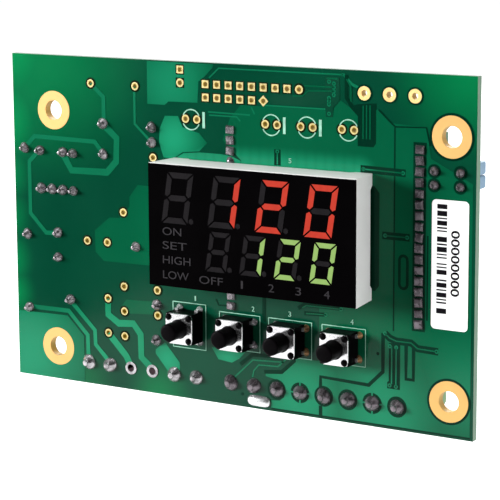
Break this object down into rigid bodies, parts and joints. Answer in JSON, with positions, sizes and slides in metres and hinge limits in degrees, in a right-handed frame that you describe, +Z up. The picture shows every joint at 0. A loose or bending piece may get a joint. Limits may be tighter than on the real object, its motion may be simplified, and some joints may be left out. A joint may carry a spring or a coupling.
{
  "type": "temperature controller board",
  "caption": "Bare temperature controller board with a two-line LED display, push buttons, screw terminals and a rear processor card.",
  "frame": {"origin": "centre of the four mounting holes, on the rear face of the board where it seats on its standoffs", "axes": "+Z up the board, +X to the right as the display is read, and the display faces -Y"},
  "size_m": [0.1016, 0.0257, 0.066],
  "materials": {
    "black_plastic": "satin",
    "board": "semi-gloss",
    "bright_plate": "satin",
    "card": "semi-gloss",
    "disc_blue": "gloss",
    "display_face": "satin",
    "display_shell": "matt",
    "green_light": "lit",
    "pale_blue": "gloss",
    "red_light": "lit",
    "relay_black": "satin",
    "resistor_tan": "matt",
    "sleeve_black": "satin",
    "solder": "satin",
    "terminal_green": "satin",
    "terminal_metal": "satin",
    "tinned_metal": "satin",
    "unlit": "satin",
    "yellow_plastic": "satin"
  },
  "bodies": {
    "controller": {"bridge_rectifier": "black_plastic", "button_1_base": "black_plastic", "button_1_cover": "bright_plate", "button_1_dome": "bright_plate", "button_1_legs": "tinned_metal", "button_2_base": "black_plastic", "button_2_cover": "bright_plate", "button_2_dome": "bright_plate", "button_2_legs": "tinned_metal", "button_3_base": "black_plastic", "button_3_cover": "bright_plate", "button_3_dome": "bright_plate", "button_3_legs": "tinned_metal", "button_4_base": "black_plastic", "button_4_cover": "bright_plate", "button_4_dome": "bright_plate", "button_4_legs": "tinned_metal", "bypass_capacitor": "pale_blue", "ceramic_capacitor": "pale_blue", "circuit_board": "board", "component_leads": "tinned_metal", "crystal": "bright_plate", "display_carrier": "card", "display_face": "display_face", "display_housing": "display_shell", "display_pins": "tinned_metal", "film_capacitor_lower": "pale_blue", "film_capacitor_upper": "pale_blue", "filter_capacitor": "sleeve_black", "front_solder": "solder", "green_segments": "green_light", "input_capacitor": "yellow_plastic", "left_strip_pins": "tinned_metal", "left_strip_spacer": "black_plastic", "output_relay": "relay_black", "power_resistor": "resistor_tan", "power_terminals_cages": "terminal_metal", "power_terminals_housing": "terminal_green", "power_terminals_pins": "tinned_metal", "power_terminals_screws": "bright_plate", "processor_card": "card", "processor_chip": "black_plastic", "processor_leads": "tinned_metal", "rear_solder": "solder", "red_segments": "red_light", "resistor_leads": "tinned_metal", "right_strip_pins": "tinned_metal", "right_strip_spacer": "black_plastic", "signal_terminals_cages": "terminal_metal", "signal_terminals_housing": "terminal_green", "signal_terminals_pins": "tinned_metal", "signal_terminals_screws": "bright_plate", "smoothing_capacitor": "sleeve_black", "unlit_segments": "unlit", "varistor": "disc_blue"},
    "button_1": {"button_1_plunger": "black_plastic"},
    "button_2": {"button_2_plunger": "black_plastic"},
    "button_3": {"button_3_plunger": "black_plastic"},
    "button_4": {"button_4_plunger": "black_plastic"}
  },
  "joints": [
    {"name": "button_1_press", "type": "slide", "parent": "controller", "child": "button_1", "axis": [0, 1, 0], "range_m": [0, 0.00025], "stiffness_N_per_m": 1000},
    {"name": "button_2_press", "type": "slide", "parent": "controller", "child": "button_2", "axis": [0, 1, 0], "range_m": [0, 0.00025], "stiffness_N_per_m": 1000},
    {"name": "button_3_press", "type": "slide", "parent": "controller", "child": "button_3", "axis": [0, 1, 0], "range_m": [0, 0.00025], "stiffness_N_per_m": 1000},
    {"name": "button_4_press", "type": "slide", "parent": "controller", "child": "button_4", "axis": [0, 1, 0], "range_m": [0, 0.00025], "stiffness_N_per_m": 1000}
  ]
}
